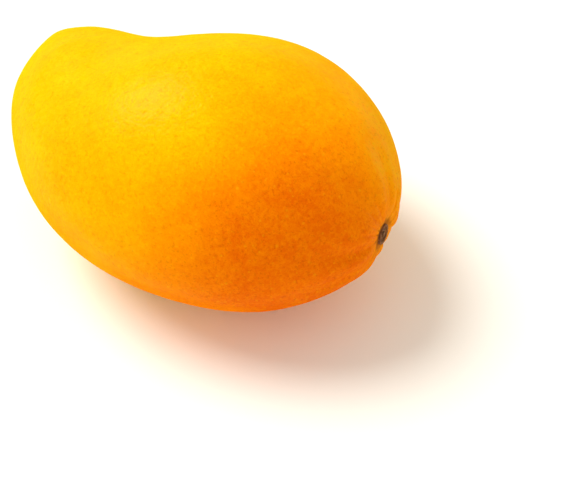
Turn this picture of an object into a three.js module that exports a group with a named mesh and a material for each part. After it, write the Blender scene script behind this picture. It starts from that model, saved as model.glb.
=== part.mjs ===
// A whole ripe mango, as picked, lying on one cheek. Millimetres, +Z up.
// +X runs to the stalk end and -X to the apex. +Y is the belly side, with the beak and the hollow
// beside it. The origin is on the surface that the fruit lies on, under the middle of its box.

import * as THREE from 'three';
import { mergeVertices } from 'three/addons/utils/BufferGeometryUtils.js';

const { degToRad, lerp, smoothstep } = THREE.MathUtils;

// Driving dimensions
const LENGTH = 112; // apex to stalk end
const WIDTH = 80; // back to belly
const THICKNESS = 63; // cheek to cheek
const REST_DEPTH = 0.6; // how much of the lower cheek is pressed flat where the fruit lies
const HALF = new THREE.Vector3(LENGTH / 2, WIDTH / 2, THICKNESS / 2);

// The body is an egg, made fuller or leaner along its length. Each list holds the factors of the
// powers 0, 1, 2 and so on of the place along the length, from -1 at the apex to 1 at the stalk.
const SIDE_FULLNESS = [0.96, 0.085, -0.17, -0.11]; // back and belly, in half widths
const UPPER_CHEEK_FULLNESS = [1, 0.135, -0.215]; // in half thicknesses
const LOWER_CHEEK_FULLNESS = [1, -0.06, -0.17]; // in half thicknesses, fullest over the rest
const BELLY_LEAN = [0, 3.4, 0.4, -8.1]; // how far the middle line leans to the belly, in millimetres

// Broad swells of the body, and one hollow, whose rise is negative. Place and reach are in half
// lengths, half widths and half thicknesses, and the rise is in millimetres.
const SWELLS = [
  { name: 'hollow beside the beak', at: [-0.41, 0.96, 0], reach: [0.59, 1.1, 1.3], rise: -8.8 },
  { name: 'apex shoulder', at: [-0.74, 0.28, 0], reach: [0.25, 0.46, 0.66], rise: 8.4 },
  { name: 'beak', at: [-0.915, 0.445, 0], reach: [0.1, 0.19, 0.27], rise: 4.3 },
  { name: 'back of the stalk end', at: [0.62, -0.7, 0], reach: [0.35, 0.6, 0.77], rise: 1.5 },
];

// Long low waves that cross each other, which leave the skin slightly uneven, as it grew
const WAVES = [
  { length: 52, rise: 0.3, towards: [0.8, 0.5, 0.35], shift: 0.6 },
  { length: 39, rise: 0.25, towards: [-0.45, 0.6, 0.65], shift: 2.3 },
  { length: 30, rise: 0.15, towards: [0.5, -0.45, 0.75], shift: 4.1 },
];

// Stalk end: a dimple, the creases that run into it, and the round scar of the stalk in its middle
const DIMPLE_DEPTH = 4;
const DIMPLE_RADIUS = 6.5;
const CREASES = 9;
const CREASE_DEPTH = 0.9;
const CREASE_SHARPNESS = 2; // 1 gives a plain wave, and more gives narrower creases
const CREASE_TURN = degToRad(28); // where the first crease lies, from the belly side
const CREASE_DRIFT = 0.22; // how unevenly the creases are spaced, in radians
const CREASE_START = 4.5; // distances from the middle of the scar, as are the next three
const CREASE_FULL = 11;
const CREASE_FADE = 13;
const CREASE_END = 26;
const SCAR_RADIUS = 3.2;
const SCAR_EDGE = 1.2;
const SCAR_RISE = 0.5;

// Skin mesh
const GRID = 27; // cells along each edge of the cube that the skin is blown up from
const CROWDING = 1.35; // above 1, the cells are finer round the stalk end
const MERGE_DISTANCE = 1e-4;

/** Adds up the factors times rising powers of u. */
function powerSum(factors, u) {
  return factors.reduceRight((sum, factor) => sum * u + factor, 0);
}

/** The body's point for a direction out of the middle, before any swell. */
function bodyPoint(direction) {
  const around = Math.atan2(direction.z, direction.y);
  const fromStalk = Math.acos(direction.x) / Math.PI;
  const angle = Math.PI * fromStalk ** CROWDING;
  const along = Math.cos(angle);
  const ring = Math.sin(angle);
  const side = HALF.y * ring * powerSum(SIDE_FULLNESS, along);
  const upper = powerSum(UPPER_CHEEK_FULLNESS, along);
  const lower = powerSum(LOWER_CHEEK_FULLNESS, along);
  const cheek = HALF.z * ring * lerp(lower, upper, 0.5 + 0.5 * Math.sin(around));
  const lean = powerSum(BELLY_LEAN, along);
  return new THREE.Vector3(HALF.x * along, lean + side * Math.cos(around), cheek * Math.sin(around));
}

/** The way out of the skin at a point, as on the plain egg. */
function outward(point) {
  return point.clone().divide(HALF).divide(HALF).normalize();
}

/** How far all swells and waves lift the skin at a point. */
function bodyLift(point) {
  const place = point.clone().divide(HALF);
  let lift = 0;
  for (const { at, reach, rise } of SWELLS) {
    const away = place.clone().sub(new THREE.Vector3(...at)).divide(new THREE.Vector3(...reach));
    lift += rise * Math.exp(-away.lengthSq());
  }
  for (const { length, rise, towards, shift } of WAVES) {
    const phase = (2 * Math.PI * point.dot(new THREE.Vector3(...towards))) / length;
    lift += rise * Math.sin(phase + shift);
  }
  return lift;
}

/** How far the dimple, its creases and the stalk's scar lift the skin at a point. */
function stalkEndLift(point) {
  if (point.x < 0) return 0;
  const y = point.y - powerSum(BELLY_LEAN, 1);
  const radius = Math.hypot(y, point.z);
  const turn = Math.atan2(point.z, y) - CREASE_TURN;
  const wave = 0.5 + 0.5 * Math.cos(CREASES * (turn + CREASE_DRIFT * Math.sin(2 * turn)));
  const inner = smoothstep(radius, CREASE_START, CREASE_FULL);
  const outer = 1 - smoothstep(radius, CREASE_FADE, CREASE_END);
  const crease = CREASE_DEPTH * inner * outer * wave ** CREASE_SHARPNESS;
  const dimple = DIMPLE_DEPTH * Math.exp(-((radius / DIMPLE_RADIUS) ** 2));
  const scar = SCAR_RISE * (1 - smoothstep(radius, SCAR_RADIUS - SCAR_EDGE, SCAR_RADIUS));
  return scar - dimple - crease;
}

/** A ball of nearly square cells with no poles, blown up from a cube. */
function ballGeometry() {
  const cube = new THREE.BoxGeometry(2, 2, 2, GRID, GRID, GRID);
  cube.deleteAttribute('normal');
  cube.deleteAttribute('uv');
  const ball = mergeVertices(cube, MERGE_DISTANCE);
  const corners = ball.attributes.position;
  const even = (value) => Math.tan((value * Math.PI) / 4);
  for (let i = 0; i < corners.count; i += 1) {
    const corner = new THREE.Vector3().fromBufferAttribute(corners, i);
    const direction = new THREE.Vector3(even(corner.x), even(corner.y), even(corner.z)).normalize();
    corners.setXYZ(i, ...direction);
  }
  return ball;
}

/** Scales a geometry to the given size and sets it on the origin's plane, centred over it. */
function fitToBox(geometry, size) {
  geometry.computeBoundingBox();
  const drawn = geometry.boundingBox.getSize(new THREE.Vector3());
  geometry.scale(size.x / drawn.x, size.y / drawn.y, size.z / drawn.z);
  geometry.computeBoundingBox();
  const { min, max } = geometry.boundingBox;
  geometry.translate(-(min.x + max.x) / 2, -(min.y + max.y) / 2, -min.z);
}

/** Presses the lowest part of a geometry flat and sets it back on the origin's plane. */
function pressFlat(geometry, depth) {
  const points = geometry.attributes.position;
  for (let i = 0; i < points.count; i += 1) {
    points.setZ(i, Math.max(points.getZ(i) - depth, 0));
  }
}

/** The fruit's whole outside as one closed skin. */
function fruitGeometry() {
  const skin = ballGeometry();
  const points = skin.attributes.position;
  for (let i = 0; i < points.count; i += 1) {
    const body = bodyPoint(new THREE.Vector3().fromBufferAttribute(points, i));
    const lift = bodyLift(body) + stalkEndLift(body);
    points.setXYZ(i, ...outward(body).multiplyScalar(lift).add(body));
  }
  fitToBox(skin, new THREE.Vector3(LENGTH, WIDTH, THICKNESS + REST_DEPTH));
  pressFlat(skin, REST_DEPTH);
  skin.computeVertexNormals();
  return skin;
}

const skinMaterial = new THREE.MeshStandardMaterial({ color: 0xfbb40c, roughness: 0.45, metalness: 0 });

const fruit = new THREE.Mesh(fruitGeometry(), skinMaterial);
fruit.name = 'fruit';

const group = new THREE.Group();
group.add(fruit);

export default group;
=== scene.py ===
"""A whole ripe mango lying on a pale floor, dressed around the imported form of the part.

All lengths are in metres, unless a name or the words beside it say millimetres. +X runs to the stalk
end, +Y to the belly side with the beak, and +Z up.
"""

import logging
import math
from dataclasses import dataclass, field
from enum import Enum

import bpy
from mathutils import Matrix, Vector


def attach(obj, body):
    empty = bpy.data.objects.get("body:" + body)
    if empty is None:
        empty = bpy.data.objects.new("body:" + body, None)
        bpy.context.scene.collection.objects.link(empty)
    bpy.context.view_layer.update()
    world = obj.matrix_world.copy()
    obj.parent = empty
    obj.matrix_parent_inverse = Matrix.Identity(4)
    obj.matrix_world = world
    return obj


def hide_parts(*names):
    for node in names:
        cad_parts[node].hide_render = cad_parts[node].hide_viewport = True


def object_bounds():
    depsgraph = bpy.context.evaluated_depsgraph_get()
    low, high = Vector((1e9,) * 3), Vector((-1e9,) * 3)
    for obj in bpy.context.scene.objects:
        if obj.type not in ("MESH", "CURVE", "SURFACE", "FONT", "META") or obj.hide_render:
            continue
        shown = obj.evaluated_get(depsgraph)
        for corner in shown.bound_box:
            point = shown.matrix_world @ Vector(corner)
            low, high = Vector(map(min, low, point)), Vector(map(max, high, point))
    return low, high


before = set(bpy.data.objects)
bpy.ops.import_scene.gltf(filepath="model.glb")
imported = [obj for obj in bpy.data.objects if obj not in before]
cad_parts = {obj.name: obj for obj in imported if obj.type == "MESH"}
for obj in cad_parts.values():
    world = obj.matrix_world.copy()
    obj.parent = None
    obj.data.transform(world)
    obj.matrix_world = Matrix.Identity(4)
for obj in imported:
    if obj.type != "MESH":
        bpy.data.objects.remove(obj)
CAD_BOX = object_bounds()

Colour = tuple[float, float, float]
Point = tuple[float, float, float]
Feed = bpy.types.NodeSocket | float | tuple

LOG = logging.getLogger("mango")
MM = 0.001
BODY = "root"
STALK_END_MM: Point = (55.0, -2.8, 30.4)
BEAK_TIP_MM: Point = (-54.9, 22.3, 30.3)


class Blend(Enum):
    """How one colour is laid over another."""

    MIX = "MIX"
    MULTIPLY = "MULTIPLY"


def opaque(colour: Colour) -> tuple[float, float, float, float]:
    """Returns a colour with full alpha, as a colour socket wants it."""
    return (*colour, 1.0)


class Wiring:
    """Adds shader nodes to one node tree and joins them."""

    MIX_SHARE = 0
    MIX_FIRST = 6
    MIX_SECOND = 7
    MIX_RESULT = 2

    def __init__(self, tree: bpy.types.NodeTree) -> None:
        """Starts the wiring of one node tree."""
        self.tree = tree

    def add(
        self, kind: str, feeds: dict[str | int, Feed] | None = None, **settings: object
    ) -> bpy.types.Node:
        """Adds one node, sets it up and feeds its inputs.

        Args:
            kind: The node's type name.
            feeds: A socket or a plain value for each input that isn't left as it is.
            settings: The node's own settings.

        Returns:
            The new node.
        """
        node = self.tree.nodes.new(kind)
        for name, value in settings.items():
            setattr(node, name, value)
        for name, feed in (feeds or {}).items():
            self.feed(node.inputs[name], feed)
        return node

    def feed(self, socket: bpy.types.NodeSocket, feed: Feed) -> None:
        """Links a socket to an input, or sets the input to a plain value.

        Args:
            socket: The input.
            feed: What goes into it.
        """
        if isinstance(feed, bpy.types.NodeSocket):
            self.tree.links.new(feed, socket)
        else:
            socket.default_value = feed

    def calc(self, operation: str, *feeds: Feed) -> bpy.types.NodeSocket:
        """Returns the result of a Math node's operation on its inputs, in order."""
        node = self.add("ShaderNodeMath", dict(enumerate(feeds)), operation=operation)
        return node.outputs[0]

    def away(self, place: Feed, centre: Point) -> bpy.types.NodeSocket:
        """Returns the distance of a place from a centre."""
        node = self.add("ShaderNodeVectorMath", {0: place, 1: centre}, operation="DISTANCE")
        return node.outputs["Value"]

    def bump(self, height: Feed) -> bpy.types.NodeSocket:
        """Returns the normal of a surface that is raised by a height in metres."""
        node = self.add("ShaderNodeBump", {"Height": height, "Strength": 1.0, "Distance": 1.0})
        return node.outputs[0]

    def step(self, value: Feed, low: Feed, high: Feed) -> bpy.types.NodeSocket:
        """Steps a value smoothly from 0 to 1.

        Args:
            value: What is stepped.
            low: Where the step starts.
            high: Where it ends, which may be below low for a falling step.

        Returns:
            The stepped value, 0 at low and 1 at high.
        """
        feeds = {"Value": value, "From Min": low, "From Max": high}
        node = self.add("ShaderNodeMapRange", feeds, interpolation_type="SMOOTHSTEP")
        return node.outputs[0]

    def lay(
        self, share: Feed, under: Feed, over: Feed, blend: Blend = Blend.MIX
    ) -> bpy.types.NodeSocket:
        """Lays one colour over another.

        Args:
            share: How much of the upper colour shows.
            under: The lower colour.
            over: The upper colour.
            blend: How it is laid.

        Returns:
            The colour of both together.
        """
        feeds = {self.MIX_SHARE: share, self.MIX_FIRST: under, self.MIX_SECOND: over}
        node = self.add("ShaderNodeMix", feeds, data_type="RGBA", blend_type=blend.value)
        return node.outputs[self.MIX_RESULT]


class ShaderGroup:
    """A shader node group that several materials share, built once."""

    NAME = ""
    INPUTS: dict[str, str] = {}
    OUTPUTS: dict[str, str] = {}

    def build(self) -> bpy.types.NodeTree:
        """Builds the group on the first call, and finds it again on every later one.

        Returns:
            The group.
        """
        known = bpy.data.node_groups.get(self.NAME)
        if known:
            return known
        tree = bpy.data.node_groups.new(self.NAME, "ShaderNodeTree")
        for name, kind in self.INPUTS.items():
            tree.interface.new_socket(name=name, in_out="INPUT", socket_type=kind)
        for name, kind in self.OUTPUTS.items():
            tree.interface.new_socket(name=name, in_out="OUTPUT", socket_type=kind)
        wiring = Wiring(tree)
        entry = wiring.add("NodeGroupInput")
        leave = wiring.add("NodeGroupOutput")
        self.wire(wiring, entry.outputs, leave.inputs)
        return tree

    def wire(
        self, wiring: Wiring, entry: bpy.types.NodeOutputs, leave: bpy.types.NodeInputs
    ) -> None:
        """Joins the sockets that come into the group to those that go out of it."""
        raise NotImplementedError

    def place(self, wiring: Wiring, feeds: dict[str, Feed]) -> bpy.types.NodeOutputs:
        """Places the group in a material with its inputs there, and returns its outputs."""
        return wiring.add("ShaderNodeGroup", feeds, node_tree=self.build()).outputs


class Pores(ShaderGroup):
    """Small round marks strewn over a surface, each of its own size, with some left out."""

    NAME = "pores"
    INPUTS = {
        "Place": "NodeSocketVector",
        "Spacing": "NodeSocketFloat",
        "Radius": "NodeSocketFloat",
        "Share": "NodeSocketFloat",
    }
    OUTPUTS = {"Mask": "NodeSocketFloat"}
    SMALLEST = 0.45
    CORE = 0.35

    def wire(
        self, wiring: Wiring, entry: bpy.types.NodeOutputs, leave: bpy.types.NodeInputs
    ) -> None:
        """Makes the mask out of the distance to the nearest of many strewn points.

        Args:
            wiring: The group's wiring.
            entry: The sockets that come in.
            leave: The sockets that go out.
        """
        scale = wiring.calc("DIVIDE", 1.0, entry["Spacing"])
        cells = wiring.add("ShaderNodeTexVoronoi", {"Vector": entry["Place"], "Scale": scale})
        chance = wiring.add("ShaderNodeSeparateColor", {"Color": cells.outputs["Color"]})
        size = wiring.calc(
            "MULTIPLY_ADD", chance.outputs["Green"], 1.0 - self.SMALLEST, self.SMALLEST
        )
        edge = wiring.calc("MULTIPLY", size, wiring.calc("MULTIPLY", entry["Radius"], scale))
        core = wiring.calc("MULTIPLY", edge, self.CORE)
        mark = wiring.step(cells.outputs["Distance"], edge, core)
        kept = wiring.calc("LESS_THAN", chance.outputs["Red"], entry["Share"])
        wiring.feed(leave["Mask"], wiring.calc("MULTIPLY", mark, kept))


class Mottle(ShaderGroup):
    """Soft uneven patches of a given size, with values as much above a half as below."""

    NAME = "mottle"
    INPUTS = {
        "Place": "NodeSocketVector",
        "Size": "NodeSocketFloat",
        "Detail": "NodeSocketFloat",
        "Fineness": "NodeSocketFloat",
        "Contrast": "NodeSocketFloat",
    }
    OUTPUTS = {"Value": "NodeSocketFloat"}
    MIDDLE = 0.5

    def wire(
        self, wiring: Wiring, entry: bpy.types.NodeOutputs, leave: bpy.types.NodeInputs
    ) -> None:
        """Stretches a noise about its middle by the contrast.

        Args:
            wiring: The group's wiring.
            entry: The sockets that come in.
            leave: The sockets that go out.
        """
        feeds = {
            "Vector": entry["Place"],
            "Scale": wiring.calc("DIVIDE", 1.0, entry["Size"]),
            "Detail": entry["Detail"],
            "Roughness": entry["Fineness"],
        }
        noise = wiring.add("ShaderNodeTexNoise", feeds)
        centred = wiring.calc("SUBTRACT", noise.outputs[0], self.MIDDLE)
        stretched = wiring.calc("MULTIPLY_ADD", centred, entry["Contrast"], self.MIDDLE)
        wiring.feed(leave["Value"], stretched)


class Finish:
    """A surface finish that makes one material."""

    NAME = ""

    def material(self) -> bpy.types.Material:
        """Makes the material, wired from the piece's own place in millimetres.

        Returns:
            The new material.
        """
        material = bpy.data.materials.new(self.NAME)
        material.use_nodes = True
        material.node_tree.nodes.clear()
        wiring = Wiring(material.node_tree)
        shader = wiring.add("ShaderNodeBsdfPrincipled")
        wiring.add("ShaderNodeOutputMaterial", {"Surface": shader.outputs[0]})
        here = wiring.add("ShaderNodeTexCoord").outputs["Object"]
        to_millimetres = {"Vector": here, "Scale": (1 / MM, 1 / MM, 1 / MM)}
        place = wiring.add("ShaderNodeMapping", to_millimetres).outputs[0]
        self.wire(wiring, place, shader)
        return material

    def wire(self, wiring: Wiring, place: Feed, shader: bpy.types.Node) -> None:
        """Feeds the material's shader from the place on the piece."""
        raise NotImplementedError


@dataclass(frozen=True)
class Patches:
    """Uneven patches of a surface: their largest size in millimetres, and how they go on finer.

    A contrast below 0 swaps their high and low places.
    """

    size: float
    detail: float
    fineness: float
    contrast: float

    def place(self, wiring: Wiring, place: Feed) -> bpy.types.NodeSocket:
        """Lays the patches over a surface.

        Args:
            wiring: The material's wiring.
            place: The place on the surface.

        Returns:
            The patches as values about a half.
        """
        feeds = {
            "Place": place,
            "Size": self.size,
            "Detail": self.detail,
            "Fineness": self.fineness,
            "Contrast": self.contrast,
        }
        return Mottle().place(wiring, feeds)["Value"]


@dataclass(frozen=True)
class Marks:
    """Small round marks strewn over a surface. Lengths are in millimetres."""

    colour: Colour
    spacing: float
    radius: float
    share: float
    strength: float

    def place(self, wiring: Wiring, place: Feed) -> bpy.types.NodeSocket:
        """Strews the marks over a surface.

        Args:
            wiring: The material's wiring.
            place: The place on the surface.

        Returns:
            The marks as a mask.
        """
        feeds = {
            "Place": place,
            "Spacing": self.spacing,
            "Radius": self.radius,
            "Share": self.share,
        }
        mask = Pores().place(wiring, feeds)["Mask"]
        return wiring.calc("MULTIPLY", mask, self.strength)


@dataclass(frozen=True)
class Stain:
    """A round stain about one point, with a soft and uneven edge. Lengths are in millimetres."""

    colour: Colour
    centre: Point
    inner: float
    outer: float
    strength: float
    edge: Patches = Patches(size=1.5, detail=2.0, fineness=0.7, contrast=3.0)

    def place(self, wiring: Wiring, place: Feed) -> bpy.types.NodeSocket:
        """Lays the stain on a surface.

        Args:
            wiring: The material's wiring.
            place: The place on the surface.

        Returns:
            The stain as a mask.
        """
        distance = wiring.away(place, self.centre)
        reach = wiring.calc("ADD", distance, self.edge.place(wiring, place))
        mask = wiring.step(reach, self.outer, self.inner)
        return wiring.calc("MULTIPLY", mask, self.strength)


@dataclass(frozen=True)
class Tint:
    """A broad soft patch of deeper skin, or of paler skin below 0. Lengths are in millimetres."""

    centre: Point
    reach: float
    deeper: float

    def place(self, wiring: Wiring, place: Feed) -> bpy.types.NodeSocket:
        """Returns how much deeper the skin's tone is at a place."""
        mask = wiring.step(wiring.away(place, self.centre), self.reach, 0.0)
        return wiring.calc("MULTIPLY", mask, self.deeper)


@dataclass(frozen=True)
class RipeSkin(Finish):
    """Smooth satin skin, golden at the apex and the belly, orange to the stalk end and the back.

    A tone runs from 0, the most golden, to 1, the deepest orange. The orange patch on the back toward
    the stalk end is partly the fruit's own blush and partly painted shade. Lengths are in millimetres.
    """

    NAME = "ripe_skin"
    tones: tuple[tuple[float, Colour], ...] = (
        (0.0, (0.8, 0.54, 0.0004)),
        (0.35, (0.93, 0.397, 0.0004)),
        (0.55, (0.96, 0.315, 0.0004)),
        (0.7, (0.92, 0.253, 0.0004)),
        (1.0, (0.79, 0.13, 0.0005)),
    )
    golden: float = 0.18
    # The orange patch about the centre below is partly the fruit's own blush and partly painted shade,
    # deepest low on the back toward the stalk end.
    blushed_and_shaded: float = 0.93
    # Painted shade: the tone deepens with height, to offset the stronger light that falls on top.
    rising_tone: float = 0.0015
    blush_and_shade_centre: Point = (41.5, -24.5, 34.0)
    blush_and_shade_inner: float = 12.0
    blush_and_shade_outer: float = 55.0
    tints: tuple[Tint, ...] = (
        Tint(centre=(-19.5, -27.5, 52.0), reach=30.0, deeper=0.21),
        Tint(centre=(13.0, -17.5, 64.0), reach=20.0, deeper=-0.19),
        Tint(centre=(29.0, 19.5, 50.0), reach=24.0, deeper=0.14),
        Tint(centre=(55.0, 6.0, 47.5), reach=14.0, deeper=-0.08),
        Tint(centre=(-17.0, -19.0, 62.5), reach=24.0, deeper=-0.19),
        # Painted shade: these two deeper patches darken the low front edge of the skin, where shade
        # and warm bounce light fall.
        Tint(centre=(-12.0, -36.0, 16.0), reach=24.0, deeper=0.25),
        Tint(centre=(6.0, -38.0, 18.0), reach=20.0, deeper=0.3),
        Tint(centre=(24.0, 36.0, 18.0), reach=46.0, deeper=0.2),
    )
    drift: Patches = Patches(size=26.0, detail=0.0, fineness=0.5, contrast=0.1)
    cloud: Patches = Patches(size=10.0, detail=2.0, fineness=0.9, contrast=0.34)
    grain: Patches = Patches(size=1.2, detail=2.0, fineness=1.0, contrast=-0.527)
    specks: Patches = Patches(size=0.8, detail=1.0, fineness=0.7, contrast=1.0)
    speck_tint: Colour = (0.78, 0.66, 0.45)
    speck_from: float = 0.55
    speck_to: float = 0.72
    speck_strength: float = 0.5
    pale: Marks = Marks(
        colour=(0.9, 0.5, 0.01), spacing=1.7, radius=0.55, share=0.6, strength=0.25
    )
    dark: Marks = Marks(
        colour=(0.45, 0.12, 0.002), spacing=9.0, radius=0.5, share=0.2, strength=0.5
    )
    stains: tuple[Stain, ...] = (
        Stain(colour=(0.75, 0.3, 0.01), centre=STALK_END_MM, inner=4.0, outer=10.0, strength=0.35),
        Stain(colour=(0.26, 0.07, 0.01), centre=STALK_END_MM, inner=3.4, outer=6.0, strength=0.7),
        Stain(colour=(0.18, 0.07, 0.015), centre=BEAK_TIP_MM, inner=1.4, outer=2.6, strength=0.8),
    )
    satin: Patches = Patches(size=2.4, detail=2.0, fineness=0.7, contrast=1.5)
    roughness_low: float = 0.2
    roughness_high: float = 0.36
    edge_roughness: float = 0.95
    edge_from: float = 0.45
    edge_to: float = 0.9
    dimple_depth: float = 0.16
    pore_depth: float = 0.02
    specular: float = 0.012
    specular_tint: Colour = (1.0, 0.85, 0.45)
    subsurface: float = 0.1
    subsurface_reach: tuple[float, float, float] = (3.0, 1.1, 0.15)

    def wire(self, wiring: Wiring, place: Feed, shader: bpy.types.Node) -> None:
        """Feeds the shader with the skin's colour, roughness and fine relief.

        Args:
            wiring: The material's wiring.
            place: The place on the skin, in millimetres.
            shader: The material's Principled BSDF.
        """
        pores = self.pale.place(wiring, place)
        satin = self.satin.place(wiring, place)
        wiring.feed(shader.inputs["Base Color"], self.wire_colour(wiring, place, pores))
        wiring.feed(shader.inputs["Roughness"], self.wire_roughness(wiring, satin))
        wiring.feed(shader.inputs["Normal"], self.wire_normal(wiring, satin, pores))
        shader.inputs["Specular IOR Level"].default_value = self.specular
        shader.inputs["Specular Tint"].default_value = opaque(self.specular_tint)
        shader.inputs["Subsurface Weight"].default_value = self.subsurface
        shader.inputs["Subsurface Radius"].default_value = self.subsurface_reach
        shader.inputs["Subsurface Scale"].default_value = MM

    def wire_colour(self, wiring: Wiring, place: Feed, pores: Feed) -> bpy.types.NodeSocket:
        """Lays the specks, the pores, the dark marks and the stains over the skin's tones.

        Args:
            wiring: The material's wiring.
            place: The place on the skin.
            pores: The mask of the pale pores.

        Returns:
            The skin's colour.
        """
        specks = wiring.step(self.specks.place(wiring, place), self.speck_from, self.speck_to)
        specks = wiring.calc("MULTIPLY", specks, self.speck_strength)
        colour = self.wire_tones(wiring, place)
        colour = wiring.lay(specks, colour, opaque(self.speck_tint), Blend.MULTIPLY)
        colour = wiring.lay(pores, colour, opaque(self.pale.colour))
        for marks in (self.dark, *self.stains):
            colour = wiring.lay(marks.place(wiring, place), colour, opaque(marks.colour))
        return colour

    def wire_tones(self, wiring: Wiring, place: Feed) -> bpy.types.NodeSocket:
        """Spreads the golden and orange tones over the skin.

        Args:
            wiring: The material's wiring.
            place: The place on the skin.

        Returns:
            The skin's colour without its specks, pores and stains.
        """
        # Mask of the orange patch: the fruit's own blush, deepened by painted shade low on the back
        # toward the stalk end.
        reach = wiring.away(place, self.blush_and_shade_centre)
        blush_and_shade = wiring.step(reach, self.blush_and_shade_outer, self.blush_and_shade_inner)
        height = wiring.add("ShaderNodeSeparateXYZ", {"Vector": place}).outputs["Z"]
        # Deeper with height: painted shade against the brighter light on top.
        golden = wiring.calc("MULTIPLY_ADD", height, self.rising_tone, self.golden)
        further = wiring.calc("SUBTRACT", self.blushed_and_shaded, golden)
        tone = wiring.calc("MULTIPLY_ADD", blush_and_shade, further, golden)
        for tint in self.tints:
            tone = wiring.calc("ADD", tone, tint.place(wiring, place))
        for patches in (self.drift, self.cloud, self.grain):
            shift = wiring.calc("SUBTRACT", patches.place(wiring, place), Mottle.MIDDLE)
            tone = wiring.calc("ADD", tone, shift)
        ramp = wiring.add("ShaderNodeValToRGB", {"Fac": tone})
        self.fill_ramp(ramp.color_ramp)
        return ramp.outputs[0]

    def fill_ramp(self, ramp: bpy.types.ColorRamp) -> None:
        """Puts the skin's tones on a colour ramp.

        Args:
            ramp: The ramp, as new, with two stops.
        """
        first, *middle, last = self.tones
        for stop, (position, colour) in zip(ramp.elements, (first, last)):
            stop.position = position
            stop.color = opaque(colour)
        for position, colour in middle:
            ramp.elements.new(position).color = opaque(colour)

    def wire_roughness(self, wiring: Wiring, satin: Feed) -> bpy.types.NodeSocket:
        """Makes the skin unevenly satin, and duller where it turns away from the eye.

        Args:
            wiring: The material's wiring.
            satin: The unevenness, about a half.

        Returns:
            The skin's roughness.
        """
        spread = self.roughness_high - self.roughness_low
        gloss = wiring.calc("MULTIPLY_ADD", satin, spread, self.roughness_low)
        facing = wiring.add("ShaderNodeLayerWeight").outputs["Facing"]
        edge = wiring.step(facing, self.edge_from, self.edge_to)
        duller = wiring.calc("SUBTRACT", self.edge_roughness, gloss)
        return wiring.calc("MULTIPLY_ADD", edge, duller, gloss)

    def wire_normal(self, wiring: Wiring, satin: Feed, pores: Feed) -> bpy.types.NodeSocket:
        """Makes the skin finely dimpled, with sunken pores.

        Args:
            wiring: The material's wiring.
            satin: The unevenness, about a half.
            pores: The mask of the pale pores.

        Returns:
            The skin's normal.
        """
        relief = wiring.calc("MULTIPLY", satin, self.dimple_depth * MM)
        return wiring.bump(wiring.calc("MULTIPLY_ADD", pores, -self.pore_depth * MM, relief))


@dataclass(frozen=True)
class Cork(Finish):
    """Dry brown cork where the stalk came off. Lengths are in millimetres."""

    NAME = "cork"
    light: Colour = (0.36, 0.14, 0.035)
    dark: Colour = (0.08, 0.028, 0.008)
    grain: Patches = Patches(size=0.8, detail=4.0, fineness=0.6, contrast=2.2)
    pits: Marks = Marks(
        colour=(0.06, 0.02, 0.008), spacing=0.7, radius=0.22, share=0.8, strength=0.9
    )
    relief: float = 0.2
    roughness: float = 0.85

    def wire(self, wiring: Wiring, place: Feed, shader: bpy.types.Node) -> None:
        """Feeds the shader with the cork's grain and pits.

        Args:
            wiring: The material's wiring.
            place: The place on the cork, in millimetres.
            shader: The material's Principled BSDF.
        """
        grain = self.grain.place(wiring, place)
        pits = self.pits.place(wiring, place)
        colour = wiring.lay(grain, opaque(self.dark), opaque(self.light))
        colour = wiring.lay(pits, colour, opaque(self.pits.colour))
        height = wiring.calc("MULTIPLY", wiring.calc("SUBTRACT", grain, pits), self.relief * MM)
        wiring.feed(shader.inputs["Base Color"], colour)
        wiring.feed(shader.inputs["Normal"], wiring.bump(height))
        shader.inputs["Roughness"].default_value = self.roughness


@dataclass(frozen=True)
class PaleFloor(Finish):
    """Plain white paper under the fruit."""

    NAME = "pale_floor"
    colour: Colour = (0.97, 0.95, 0.9)
    roughness: float = 0.9
    specular: float = 0.0

    def wire(self, wiring: Wiring, place: Feed, shader: bpy.types.Node) -> None:
        """Sets the shader's plain colour, the same all over.

        Args:
            wiring: The material's wiring, which is not used.
            place: The place on the floor, in millimetres, which is not used.
            shader: The material's Principled BSDF.
        """
        shader.inputs["Base Color"].default_value = opaque(self.colour)
        shader.inputs["Roughness"].default_value = self.roughness
        shader.inputs["Specular IOR Level"].default_value = self.specular


def smooth_step(value: float, low: float, high: float) -> float:
    """Returns a smooth step of a value, 0 up to low and 1 from high."""
    share = min(max((value - low) / (high - low), 0.0), 1.0)
    return share * share * (3.0 - 2.0 * share)


def activate(piece: bpy.types.Object) -> None:
    """Selects one object alone and makes it the active one.

    Args:
        piece: The object.
    """
    bpy.ops.object.select_all(action="DESELECT")
    piece.select_set(True)
    bpy.context.view_layer.objects.active = piece


def apply_modifier(piece: bpy.types.Object, kind: str, **settings: object) -> None:
    """Adds a modifier to an object and applies it at once.

    Args:
        piece: The object.
        kind: The modifier's type name.
        settings: The modifier's settings.
    """
    activate(piece)
    modifier = piece.modifiers.new(kind.lower(), kind)
    for name, value in settings.items():
        setattr(modifier, name, value)
    bpy.ops.object.modifier_apply(modifier=modifier.name)


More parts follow.
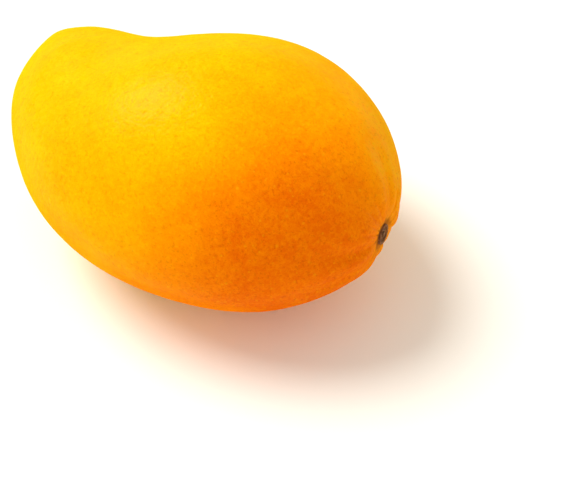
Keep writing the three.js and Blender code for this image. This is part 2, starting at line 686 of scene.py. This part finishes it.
@dataclass
class FruitSkin:
    """The fruit's whole skin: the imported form, merged, made fine and slightly uneven."""

    node: str = "fruit"
    finish: RipeSkin = field(default_factory=RipeSkin)
    merge_distance: float = 0.01 * MM
    quad_angle: float = math.radians(40)
    smoothing_levels: int = 2
    dent_size: float = 6.0 * MM
    dent_detail: int = 1
    dent_depth: float = 0.12 * MM
    dent_middle: float = 0.6
    folds: int = 17
    fold_depth: float = 0.45 * MM
    fold_sharpness: float = 3.0
    fold_drift: float = 0.2
    fold_swings: int = 3
    folds_start: float = 2.5 * MM
    folds_full: float = 5.0 * MM
    folds_fade: float = 7.0 * MM
    folds_end: float = 16.0 * MM

    def build(self) -> bpy.types.Object:
        """Shapes the skin and dresses it.

        Returns:
            The finished skin.
        """
        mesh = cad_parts[self.node].data.copy()
        skin = bpy.data.objects.new("fruit_skin", mesh)
        bpy.context.scene.collection.objects.link(skin)
        self.merge(skin)
        self.refine(skin)
        self.dent(skin)
        self.pucker(skin)
        self.set_down(skin)
        self.dress(skin)
        return skin

    def merge(self, skin: bpy.types.Object) -> None:
        """Joins the loose triangles into one mesh of nearly square cells.

        Args:
            skin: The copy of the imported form.
        """
        activate(skin)
        bpy.ops.mesh.customdata_custom_splitnormals_clear()
        bpy.ops.object.mode_set(mode="EDIT")
        bpy.ops.mesh.select_all(action="SELECT")
        bpy.ops.mesh.remove_doubles(threshold=self.merge_distance)
        bpy.ops.mesh.tris_convert_to_quads(
            face_threshold=self.quad_angle, shape_threshold=self.quad_angle
        )
        bpy.ops.object.mode_set(mode="OBJECT")

    def refine(self, skin: bpy.types.Object) -> None:
        """Smooths the cells into one fine round skin.

        Args:
            skin: The merged skin.
        """
        levels = self.smoothing_levels
        apply_modifier(skin, "SUBSURF", levels=levels, render_levels=levels)
        bpy.ops.object.shade_smooth()

    def dent(self, skin: bpy.types.Object) -> None:
        """Leaves the skin slightly uneven, as it grew.

        Args:
            skin: The fine skin.
        """
        unevenness = bpy.data.textures.new("unevenness", "CLOUDS")
        unevenness.noise_scale = self.dent_size
        unevenness.noise_depth = self.dent_detail
        apply_modifier(
            skin,
            "DISPLACE",
            texture=unevenness,
            texture_coords="LOCAL",
            strength=self.dent_depth,
            mid_level=self.dent_middle,
        )

    def pucker(self, skin: bpy.types.Object) -> None:
        """Draws fine folds together round the stalk end, between the broader creases.

        Args:
            skin: The uneven skin.
        """
        normals = [vertex.normal.copy() for vertex in skin.data.vertices]
        for vertex, normal in zip(skin.data.vertices, normals):
            if vertex.co.x > 0.0:
                vertex.co -= normal * self.fold_at(vertex.co)

    def fold_at(self, place: Vector) -> float:
        """Works out how deep the fine folds are near the stalk end.

        Args:
            place: The place on the skin.

        Returns:
            The depth there.
        """
        offset = place - Vector(STALK_END_MM) * MM
        radius = math.hypot(offset.y, offset.z)
        turn = math.atan2(offset.z, offset.y)
        drifted = turn + self.fold_drift * math.sin(self.fold_swings * turn)
        wave = (1.0 + math.cos(self.folds * drifted)) / 2.0
        inner = smooth_step(radius, self.folds_start, self.folds_full)
        outer = 1.0 - smooth_step(radius, self.folds_fade, self.folds_end)
        return self.fold_depth * inner * outer * wave**self.fold_sharpness

    def set_down(self, skin: bpy.types.Object) -> None:
        """Keeps the flat spot level with the floor."""
        for vertex in skin.data.vertices:
            vertex.co.z = max(vertex.co.z, 0.0)

    def dress(self, skin: bpy.types.Object) -> None:
        """Gives the skin its material and its place in the frame.

        Args:
            skin: The shaped skin.
        """
        skin.data.materials.clear()
        skin.data.materials.append(self.finish.material())
        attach(skin, BODY)
        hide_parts(self.node)


@dataclass
class StalkScar:
    """The small cork button where the stalk came off, seated in the dimple of the skin."""

    skin: bpy.types.Object
    finish: Cork = field(default_factory=Cork)
    radius: float = 2.7 * MM
    sides: int = 32
    sink: float = 0.5 * MM
    height: float = 0.8 * MM
    rim: float = 0.6 * MM
    pit: float = 0.5 * MM
    core: float = 0.8 * MM
    core_height: float = 0.45 * MM
    core_inset: float = 0.4 * MM
    edge: float = 0.15 * MM
    edge_segments: int = 2
    smoothing_levels: int = 2
    grain_size: float = 0.9 * MM
    grain_detail: int = 2
    grain_depth: float = 0.25 * MM
    run_up: float = 1.0 * MM

    def build(self) -> bpy.types.Object:
        """Models the button, seats it in the skin and dresses it.

        Returns:
            The finished scar.
        """
        seat, normal = self.find_seat()
        scar = self.model()
        self.roughen(scar)
        turn = normal.to_track_quat("Z", "Y").to_matrix().to_4x4()
        scar.data.transform(Matrix.Translation(seat) @ turn)
        scar.data.materials.append(self.finish.material())
        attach(scar, BODY)
        return scar

    def find_seat(self) -> tuple[Vector, Vector]:
        """Finds where the stalk's line meets the skin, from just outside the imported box.

        Returns:
            The place on the skin, and the way out of it there.
        """
        outside = Vector(STALK_END_MM) * MM
        outside.x = CAD_BOX[1][0] + self.run_up
        found, place, normal, _ = self.skin.ray_cast(outside, Vector((-1.0, 0.0, 0.0)))
        if not found:
            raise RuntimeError("the stalk's line misses the skin")
        return place, normal

    def model(self) -> bpy.types.Object:
        """Models the button lying on the origin, facing up.

        Returns:
            The button: a low drum with a rim, a shallow pit and a woody core.
        """
        bpy.ops.object.select_all(action="DESELECT")
        bpy.ops.mesh.primitive_circle_add(
            vertices=self.sides, radius=self.radius, fill_type="NGON", location=(0.0, 0.0, -self.sink)
        )
        scar = bpy.context.active_object
        scar.name = "stalk_scar"
        bpy.ops.object.transform_apply(location=True, rotation=True, scale=True)
        bpy.ops.object.mode_set(mode="EDIT")
        bpy.ops.mesh.select_all(action="SELECT")
        self.raise_faces(self.sink + self.height)
        bpy.ops.mesh.inset(thickness=self.rim)
        self.raise_faces(-self.pit)
        bpy.ops.mesh.inset(thickness=self.radius - self.rim - self.core)
        self.raise_faces(self.core_height)
        bpy.ops.mesh.inset(thickness=self.core_inset)
        bpy.ops.mesh.select_all(action="SELECT")
        bpy.ops.mesh.normals_make_consistent(inside=False)
        bpy.ops.mesh.bevel(offset=self.edge, segments=self.edge_segments, affect="EDGES")
        bpy.ops.object.mode_set(mode="OBJECT")
        return scar

    def raise_faces(self, height: float) -> None:
        """Extrudes the chosen faces straight up, or down if the height is negative."""
        move = {"value": (0.0, 0.0, height)}
        bpy.ops.mesh.extrude_region_move(TRANSFORM_OT_translate=move)

    def roughen(self, scar: bpy.types.Object) -> None:
        """Smooths the button and roughens it like dry cork.

        Args:
            scar: The plain button.
        """
        levels = self.smoothing_levels
        apply_modifier(scar, "SUBSURF", levels=levels, render_levels=levels)
        grain = bpy.data.textures.new("cork_grain", "CLOUDS")
        grain.noise_scale = self.grain_size
        grain.noise_depth = self.grain_detail
        apply_modifier(
            scar, "DISPLACE", texture=grain, texture_coords="LOCAL", strength=self.grain_depth
        )
        bpy.ops.object.shade_smooth()


def view_direction(azimuth: float, elevation: float) -> Vector:
    """Returns the way out from the part at an azimuth, which turns right from -Y, and an elevation."""
    level = math.cos(elevation)
    return Vector((math.sin(azimuth) * level, -math.cos(azimuth) * level, math.sin(elevation)))


@dataclass(frozen=True)
class SoftLamp:
    """A soft lamp, so far off that only the way to it counts.

    It brightens what it falls on, shines in it, or does both. Its strength is in watts for each
    square metre, and all its angles are in degrees.
    """

    name: str
    strength: float
    azimuth: float
    elevation: float
    spread: float
    brightens: bool = True
    shines: bool = True
    colour: Colour = (1.0, 0.99, 0.96)

    def hang(self) -> None:
        """Hangs the lamp, shining from its azimuth and elevation."""
        light = bpy.data.lights.new(self.name, "SUN")
        light.energy = self.strength
        light.color = self.colour
        light.angle = math.radians(self.spread)
        lamp = bpy.data.objects.new(self.name, light)
        lamp.visible_diffuse = self.brightens
        lamp.visible_glossy = self.shines
        bpy.context.scene.collection.objects.link(lamp)
        away = view_direction(math.radians(self.azimuth), math.radians(self.elevation))
        lamp.rotation_euler = (-away).to_track_quat("-Z", "Y").to_euler()


@dataclass
class Studio:
    """The floor, the sky of soft white light, and the soft lamps to the upper left."""

    floor_size: float = 8.0
    floor: PaleFloor = field(default_factory=PaleFloor)
    sky: Colour = (1.0, 0.97, 0.88)
    sky_strength: float = 0.73
    reflected_sky: Colour = (1.0, 0.8, 0.2)
    reflected_strength: float = 0.5
    lamps: tuple[SoftLamp, ...] = (
        SoftLamp("key_lamp", 2.9, azimuth=-93, elevation=51, spread=38, shines=False),
        SoftLamp("shine_lamp", 4.2, azimuth=-112, elevation=44, spread=24, brightens=False),
    )

    def build(self) -> None:
        """Sets up the whole studio."""
        bpy.context.scene.view_settings.view_transform = "Standard"
        self.lay_floor()
        self.light_sky()
        for lamp in self.lamps:
            lamp.hang()

    def lay_floor(self) -> None:
        """Lays the pale floor under the fruit."""
        bpy.ops.object.select_all(action="DESELECT")
        bpy.ops.mesh.primitive_plane_add(size=self.floor_size)
        floor = bpy.context.active_object
        floor.name = "floor"
        floor.data.materials.append(self.floor.material())

    def light_sky(self) -> None:
        """Fills the room with even white light, which the skin mirrors more warmly."""
        world = bpy.data.worlds.new("sky")
        world.use_nodes = True
        world.node_tree.nodes.clear()
        wiring = Wiring(world.node_tree)
        sky = {"Color": opaque(self.sky), "Strength": self.sky_strength}
        reflected = {"Color": opaque(self.reflected_sky), "Strength": self.reflected_strength}
        glossy = wiring.add("ShaderNodeLightPath").outputs["Is Glossy Ray"]
        seen = wiring.add("ShaderNodeBackground", sky).outputs[0]
        mirrored = wiring.add("ShaderNodeBackground", reflected).outputs[0]
        mixed = wiring.add("ShaderNodeMixShader", {0: glossy, 1: seen, 2: mirrored}).outputs[0]
        wiring.add("ShaderNodeOutputWorld", {"Surface": mixed})
        bpy.context.scene.world = world


@dataclass
class PhotoCamera:
    """The camera at the photograph's angle, with the fruit to the upper left of the frame."""

    lens_mm: float = 100.0
    sensor_mm: float = 36.0
    azimuth: float = math.radians(25.956)
    elevation: float = math.radians(49.132)
    distance: float = 441.96 * MM
    aim_right: float = 24.742 * MM
    aim_up: float = -1.693 * MM

    def build(self) -> None:
        """Sets the camera in place as the scene's own."""
        data = bpy.data.cameras.new("camera")
        data.lens = self.lens_mm
        data.sensor_width = self.sensor_mm
        camera = bpy.data.objects.new("camera", data)
        bpy.context.scene.collection.objects.link(camera)
        away = view_direction(self.azimuth, self.elevation)
        right = Vector((math.cos(self.azimuth), math.sin(self.azimuth), 0.0))
        up = away.cross(right)
        camera.location = right * self.aim_right + up * self.aim_up + away * self.distance
        camera.rotation_euler = (-away).to_track_quat("-Z", "Y").to_euler()
        bpy.context.scene.camera = camera


def main() -> None:
    """Builds the camera, the studio and the fruit's pieces, and reports each piece."""
    logging.basicConfig(level=logging.INFO, format="%(name)s: %(message)s")
    PhotoCamera().build()
    Studio().build()
    skin = FruitSkin().build()
    scar = StalkScar(skin).build()
    for piece in (skin, scar):
        faces = len(piece.data.polygons)
        LOG.info("%s: %d faces, finish %s", piece.name, faces, piece.active_material.name)


if __name__ == "__main__":
    main()
